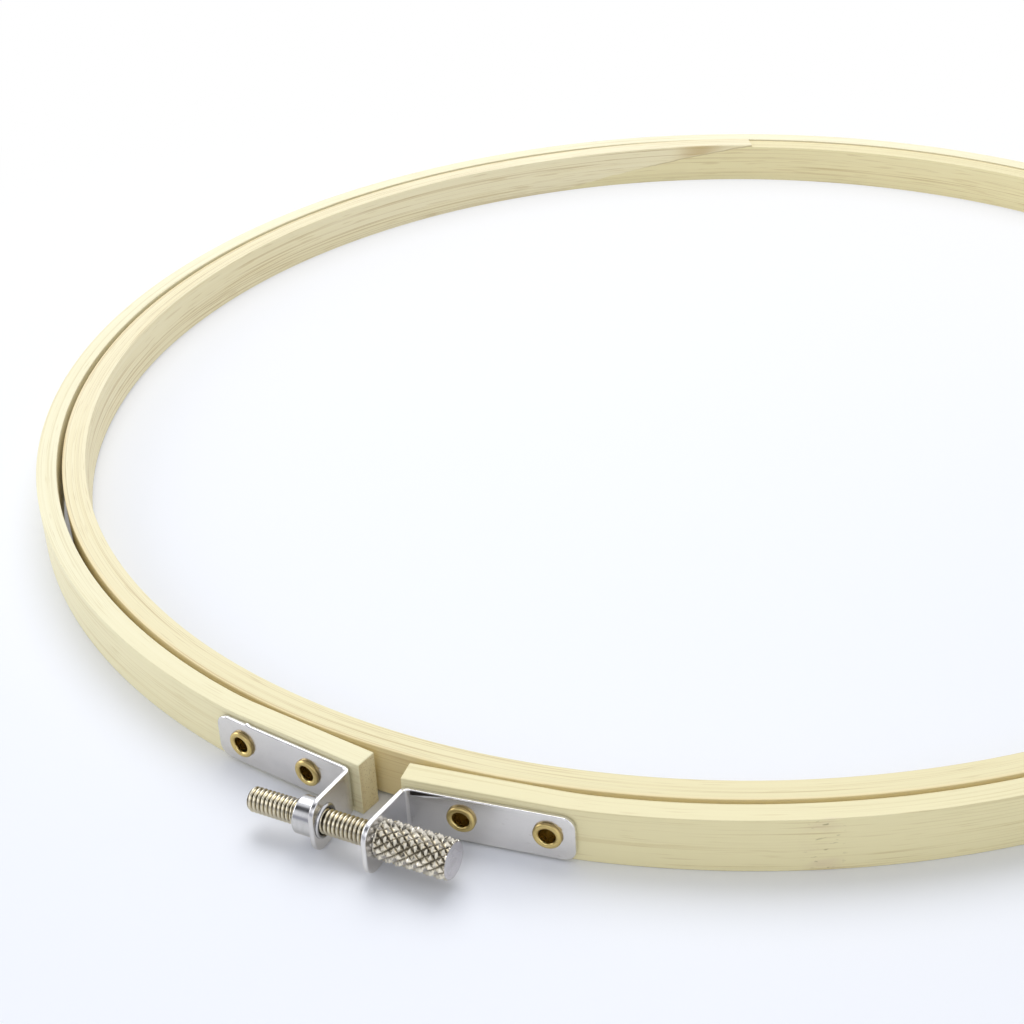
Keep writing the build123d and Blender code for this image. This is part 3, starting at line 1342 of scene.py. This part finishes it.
    def raise_burr(self, mesh: bmesh.types.BMesh) -> None:
        """Add the thin burr that climbs over the leaf's face from the fold to its top edge.

        Args:
            mesh: The flat sheet.
        """
        (drop, length), margin, start = self.burr, 0.06, 0.25
        face, sink, rings = self.sheet / 2, 0.03, []
        for step in range(11):
            share = step / 10
            thick = self.burr_thickness * math.sin(math.pi * (0.1 + 0.85 * share))
            height = self.leaf_top - margin - (drop - margin) * (1 - share)
            along = start + (length - start) * share
            low, high = face - sink, face + thick
            ridge = ((height - thick, low), (height, high), (height + thick, low))
            rings.append([mesh.verts.new((along, *spot)) for spot in ridge])
        skin(mesh, rings)
        mesh.faces.new(rings[0])
        mesh.faces.new(rings[-1])

    def build(self) -> None:
        """Fold the blank, dress it and hand it over."""
        blank, mesh = self.blank(), bmesh.new()
        mesh.from_mesh(blank)
        bpy.data.meshes.remove(blank)
        bmesh.ops.remove_doubles(mesh, verts=mesh.verts, dist=0.001)
        for step in range(self.fold_steps + 1):
            bmesh.ops.bisect_plane(
                mesh,
                geom=mesh.verts[:] + mesh.edges[:] + mesh.faces[:],
                dist=1e-5,
                plane_co=(-self.spread * step / self.fold_steps, 0, 0),
                plane_no=(1, 0, 0),
            )
        if self.burr:
            self.raise_burr(mesh)
        layer = mesh.verts.layers.float_vector.new("sheet")
        for vertex in mesh.verts:
            along, height, out = vertex.co
            vertex[layer] = (along, height, out)
            vertex.co = self.folded(along, height, out + self.sheet / 2) * MM
        for face in mesh.faces:
            face.material_index = 0
        piece = finished(f"{self.name}_sheet", mesh)
        crisp(piece, 40.0, self.finish.material())
        body = Body.OUTER if self.side is Side.COLLAR else Body.HEAD_END
        hand_over(piece, body, self.name)


@dataclass
class ThreadedCollar:
    """The round nut on its ear: body, spigot through the ear and swaged lip."""

    plan: HoopPlan
    ear_from_gap: float = 4.7
    bore: float = 1.92
    mouth: float = 2.2
    radius: float = 2.85
    length: float = 3.3
    chamfer: float = 0.3
    arris: float = 0.1
    spigot: float = 2.4
    swage: float = 2.7
    ease: float = 0.12
    # The second colour is painted shade with grime in the collar's mouth and bore.
    finish: TurnedFinish = TurnedFinish(
        "bright_collar_plate", (0.64, 0.645, 0.675), (0.09, 0.085, 0.08), 2.3, 2.55, (0.14, 0.28)
    )

    def build(self) -> None:
        """Turn the collar and hand it over."""
        chamfer, seat = self.chamfer, self.plan.seat
        lip_back = seat - self.ear_from_gap
        lip = lip_back + chamfer
        shoulder = -self.ear_from_gap - self.plan.sheet - seat
        end = shoulder - self.length
        profile = [
            (end + chamfer, self.bore),
            (end, self.mouth),
            (end, self.radius - chamfer),
            (end + chamfer, self.radius),
            (shoulder - self.arris, self.radius),
            (shoulder, self.radius - self.arris),
            (shoulder, self.spigot),
            (lip_back, self.spigot),
            (lip_back, self.swage),
            (lip, self.swage - chamfer),
            (lip, self.mouth),
            (lip - chamfer, self.bore),
        ]
        place = Matrix.Translation((0, self.plan.screw_y, 0))
        piece = turned("swaged_collar", eased(profile, self.ease), place, True, 96)
        crisp(piece, 35.0, self.finish.material())
        hand_over(piece, Body.OUTER, "threaded_collar")


@dataclass
class ThumbScrew:
    """The screw with its rolled right-hand thread, and its diamond-knurled head."""

    plan: HoopPlan
    tip: float = -17.1
    head: float = 4.65
    length: float = 11.4
    crest: float = 1.9
    root: float = 1.42
    crown: float = 0.07
    groove: float = 0.3
    pitch: float = 0.7
    lead_in: float = 0.45
    neck: float = 2.0
    tooth: float = 3.1
    valley: float = 2.42
    chamfer: float = 0.35
    along: int = 7
    around: int = 12
    cell: int = 8
    furrow: float = 0.06
    uneven: Pair = (0.06, 0.04)
    uneven_turns: Spot = (0.61, 0.37, 1.13)
    # Each second colour is painted shade with grime: in the thread's grooves, in the knurl's
    # valleys, and on the faced end's rim.
    finish: TurnedFinish = TurnedFinish(
        "warm_nickel", (0.72, 0.67, 0.54), (0.12, 0.095, 0.065), 1.48, 1.72
    )
    knurled: TurnedFinish = TurnedFinish(
        "warm_nickel_knurl", (0.76, 0.72, 0.63), (0.19, 0.17, 0.13), 2.42, 2.76, (0.1, 0.22)
    )
    faced: TurnedFinish = TurnedFinish(
        "faced_knob_end", (0.62, 0.615, 0.68), (0.22, 0.2, 0.2), -2.0, -1.0, (0.2, 0.34), 2.8
    )

    def thread(self, station: float, angle: float) -> float:
        """Find the threaded shank's surface.

        Args:
            station: Place along the axis.
            angle: Angle round it.

        Returns:
            Its radius there.
        """
        off = abs((station / self.pitch - angle / (2 * math.pi)) % 1.0 - 0.5)
        shoulder = self.crest - self.crown
        if off < self.groove:
            radius = self.root + (shoulder - self.root) * off / self.groove
        else:
            radius = self.crest - self.crown * ((0.5 - off) / (0.5 - self.groove)) ** 2
        return min(radius, self.crest - self.lead_in + station - self.tip)

    def knurl(self, row: int, column: int) -> float:
        """Find the knurl's surface at a place of its grid.

        Args:
            row: Row along the axis.
            column: Column round it.

        Returns:
            0 in a groove to 1 on a tooth's point.
        """
        first, second = (
            1 - abs(2 * (slant / self.cell % 1.0) - 1) for slant in (row + column, row - column)
        )
        by_row, by_column, around = self.uneven_turns
        wander = self.uneven[0] * math.sin(row * by_row + column * by_column)
        wander += self.uneven[1] * math.sin(column * around)
        return min(second, self.furrow + (1 - self.furrow) * first + wander)

    def shank(self, mesh: bmesh.types.BMesh, place: Matrix) -> None:
        """Add the threaded shank.

        Args:
            mesh: The screw's mesh.
            place: Where its axis lies.
        """
        step, buried, segments = self.pitch / 10, 0.3, 48
        angles = [2 * math.pi * i / segments for i in range(segments)]
        stations = [
            self.tip + row * step for row in range(int((self.head + buried - self.tip) / step) + 1)
        ]
        rings = [
            ring(mesh, place, station, [self.thread(station, angle) for angle in angles])
            for station in stations
        ]
        skin(mesh, rings)
        mesh.faces.new(rings[0])

    def knob(self, mesh: bmesh.types.BMesh, place: Matrix) -> None:
        """Add the knurled head: its back, its knurl and its faced end.

        Args:
            mesh: The screw's mesh.
            place: Where its axis lies.
        """
        rows, columns = self.cell * self.along, self.cell * self.around
        rim, end = self.tooth - self.chamfer, self.head + self.length
        back = ring(mesh, place, self.head, [self.neck] * columns)
        grid = [ring(mesh, place, self.head, [rim] * columns)]
        for row in range(1, rows):
            station = self.head + self.length * row / rows
            limit = rim + min(station - self.head, end - station)
            depth = self.tooth - self.valley
            radii = [min(limit, self.valley + depth * self.knurl(row, i)) for i in range(columns)]
            grid.append(ring(mesh, place, station, radii))
        grid.append(ring(mesh, place, end, [rim] * columns))
        radii = (rim - 0.1, rim - 0.3, rim / 2, rim / 8)
        disc = [ring(mesh, place, end, [radius] * columns) for radius in radii]
        skin(mesh, [back, grid[0]])
        skin(mesh, grid, finish=1, cell=self.cell)
        skin(mesh, [grid[-1], *disc], finish=2)
        mesh.faces.new(disc[-1]).material_index = 2

    def build(self) -> None:
        """Make the screw and hand it over."""
        mesh, place = bmesh.new(), Matrix.Translation((0, self.plan.screw_y, 0))
        self.shank(mesh, place)
        self.knob(mesh, place)
        piece = finished("knurled_thumb_screw", mesh)
        crisp(piece, 32.0, *(f.material() for f in (self.finish, self.knurled, self.faced)))
        hand_over(piece, Body.SCREW, "thumb_screw")


@dataclass(frozen=True)
class Studio:
    """Pale floor, soft lamps and the camera."""

    floor_level: float = -4.55
    floor_half: float = 1300.0
    floor_colour: Colour = (0.85, 0.87, 0.925)
    floor_bounce: Colour = (0.88, 0.87, 0.84)
    floor_cloud: Colour = (0.8, 0.8, 0.82)
    clouds_per_metre: Grain = Grain((60.0, 60.0, 60.0), 4.0, 0.3, 0.7, 0.02)
    shade_from: Spot = (100.0, -220.0, 0.0)
    shade_fade: Pair = (160.0, 440.0)
    fill: float = 0.60
    fill_colour: Colour = (0.94, 0.96, 1.0)
    white: Colour = (1.0, 1.0, 1.0)
    floor_roughness: float = 0.5
    card_edge: Colour = (0.8, 0.8, 0.8)
    card_fade: Pair = (0.2, 0.5)
    card_blue: float = 1.1
    card_roughness: float = 0.9
    eye: Spot = (124.476, -313.892, 181.113)
    right: Spot = (0.88952, 0.45434, -0.04828)
    up: Spot = (-0.20044, 0.48299, 0.85238)
    back: Spot = (0.41059, -0.74854, 0.52069)
    lens: float = 69.08
    sensor: float = 36.0
    clip: Pair = (10.0, 20000.0)
    cards: tuple[tuple[str, Spot, Spot, float], ...] = (
        ("card_over_clamp", (-900.0, -620.0, 620.0), (500.0, -140.0, 760.0), 0.05),
        ("card_before_clamp", (-900.0, -750.0, 20.0), (900.0, -750.0, 330.0), 0.4),
    )
    lamps: tuple[tuple[str, Spot, float, float], ...] = (
        ("overhead_softbox", (-200.0, 400.0, 750.0), 800.0, 4.05),
        ("left_softbox", (-700.0, -200.0, 300.0), 500.0, 1.41),
        ("right_softbox", (700.0, -350.0, 320.0), 600.0, 0.39),
        ("front_softbox", (150.0, -900.0, 520.0), 500.0, 0.74),
    )

    def panel(
        self, name: str, near: Spot, far: Spot, paint: bpy.types.Material
    ) -> bpy.types.Object:
        """Make a flat rectangle.

        Args:
            name: Its name.
            near: Its lower corner on the left.
            far: Its upper corner on the right.
            paint: Its material.

        Returns:
            The rectangle.
        """
        (left, low, foot), (right, high, top) = near, far
        corners = [(left, low, foot), (right, low, foot), (right, high, top), (left, high, top)]
        made = bpy.data.meshes.new(name)
        made.from_pydata([Vector(spot) * MM for spot in corners], [], [(0, 1, 2, 3)])
        made.materials.append(paint)
        return new_object(name, made)

    def seen(self, bench: NodeBench) -> Socket:
        """Mark the rays that show a surface to the eye.

        Args:
            bench: The material or world being made.

        Returns:
            1 for a ray from the camera, a mirror or glass, 0 for any other.
        """
        rays = bench.node("LightPath", {}).outputs
        mirrored = bench.sum("MAXIMUM", rays["Is Camera Ray"], rays["Is Glossy Ray"])
        return bench.sum("MAXIMUM", mirrored, rays["Is Transmission Ray"])

    def floor(self) -> None:
        """Lay a pale floor that fades to white for the eye away from the clamp."""
        bench = bench_for("pale_floor_paint")
        place = bench.node("TexCoord", {}).outputs["Object"]
        clouds = bench.mask(place, self.clouds_per_metre)
        colour = bench.mix(clouds, self.floor_colour, self.floor_cloud)
        camera = bench.node("LightPath", {}).outputs["Is Camera Ray"]
        colour = bench.mix(camera, self.floor_bounce, colour)
        bench.set(Base_Color=colour, Roughness=self.floor_roughness)
        spots = {0: place, 1: Vector(self.shade_from) * MM}
        away = bench.node("VectorMath", spots, operation="DISTANCE").outputs["Value"]
        far = bench.ramp(away, *(reach * MM for reach in self.shade_fade))
        glow = bench.node("Emission", {"Color": self.white, "Strength": 1.0}).outputs[0]
        feeds = {0: bench.times(far, self.seen(bench)), 1: bench.shader.outputs[0], 2: glow}
        blend = bench.node("MixShader", feeds).outputs[0]
        bench.feed(bench.tree.nodes["Material Output"].inputs["Surface"], blend)
        half, level = self.floor_half, self.floor_level
        self.panel("pale_floor", (-half, -half, level), (half, half, level), bench.owner)

    def card(self, name: str, near: Spot, far: Spot, shade: float) -> None:
        """Hang a grey card, which only the metal shows.

        Args:
            name: Its name.
            near: Its lower corner on the left.
            far: Its upper corner on the right.
            shade: How light its middle is; its long edges fade to white.
        """
        bench, foot, height = bench_for(f"{name}_paint"), near[2] * MM, (far[2] - near[2]) * MM
        rise = bench.axis(bench.node("TexCoord", {}).outputs["Object"], "Z")
        share = bench.sum("DIVIDE", bench.sum("SUBTRACT", rise, foot), height)
        edge = bench.ramp(bench.away(share, 0.5), *self.card_fade)
        fade = bench.mix(edge, (shade, shade, shade * self.card_blue), self.card_edge)
        paint = bench.set(Base_Color=fade, Roughness=self.card_roughness)
        card = self.panel(name, near, far, paint)
        card.visible_camera = card.visible_diffuse = card.visible_shadow = False

    def world(self) -> None:
        """Set a plain fill, seen as white."""
        bench = NodeBench(bpy.data.worlds.new("plain_studio"))
        seen = self.seen(bench)
        tint = bench.mix(seen, self.fill_colour, self.white)
        world = bench.set(Color=tint, Strength=bench.spread(seen, (self.fill, 1.0)))
        bpy.context.scene.world = world

    def hang_lamps(self) -> None:
        """Hang the soft lamps, all aimed at the hoop's middle."""
        for name, place, size, power in self.lamps:
            light = bpy.data.lights.new(name, "AREA")
            light.shape, light.size, light.energy = "DISK", size * MM, power
            lamp = new_object(name, light)
            lamp.location = Vector(place) * MM
            lamp.rotation_euler = (-lamp.location).to_track_quat("-Z", "Y").to_euler()

    def camera(self) -> None:
        """Set the camera at the photograph's viewpoint."""
        data = bpy.data.cameras.new("front_camera")
        data.sensor_width, data.lens = self.sensor, self.lens
        data.clip_start, data.clip_end = (reach * MM for reach in self.clip)
        camera = new_object("front_camera", data)
        turn = Matrix((self.right, self.up, self.back)).transposed().to_4x4()
        camera.matrix_world = Matrix.Translation(Vector(self.eye) * MM) @ turn
        bpy.context.scene.camera = camera

    def build(self) -> None:
        """Set up the floor, the cards, the world, the lamps and the camera."""
        self.floor()
        for card in self.cards:
            self.card(*card)
        self.world()
        self.hang_lamps()
        self.camera()
        bpy.context.scene.view_settings.view_transform = "Standard"
        log.info("studio: %d lamps", len(self.lamps))


def main() -> None:
    """Build every sub-assembly in order."""
    logging.basicConfig(level=logging.INFO, format="%(name)s: %(message)s")
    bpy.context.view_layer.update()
    plan = HoopPlan()
    eyelets = {side: EyeletRow(plan, side) for side in Side}
    # A lighter copy of the same zinc sheet, as painted light on the head's leaf, which also carries
    # a painted burr shadow.
    burr_shaded = SheetFinish(
        "lightened_sheet_with_burr_shadow", (0.78, 0.78, 0.81), (0.66, 0.665, 0.705), burr_shadow=(3.4, 1.0, 6.8)
    )
    pieces = [
        OuterStrip(plan, eyelets),
        InnerStrip(plan),
        SheetBracket(
            plan,
            Side.COLLAR,
            "collar_bracket",
            ear_from_gap=4.7,
            past_screw=3.1,
            leaf_end=30.2,
            leaf_level=-0.05,
            ear_hole=2.42,
            eyelets=eyelets[Side.COLLAR],
            finish=SheetFinish(),
            nick=(5.9, 0.22),
        ),
        SheetBracket(
            plan,
            Side.HEAD,
            "head_bracket",
            ear_from_gap=3.8,
            past_screw=4.3,
            leaf_end=29.4,
            leaf_level=-0.4,
            ear_hole=1.95,
            eyelets=eyelets[Side.HEAD],
            finish=burr_shaded,
            burr=(1.0, 6.8),
        ),
        ThreadedCollar(plan),
        ThumbScrew(plan),
        *eyelets.values(),
        Studio(),
    ]
    for piece in pieces:
        piece.build()
        log.info("built %s", type(piece).__name__)


if __name__ == "__main__":
    main()
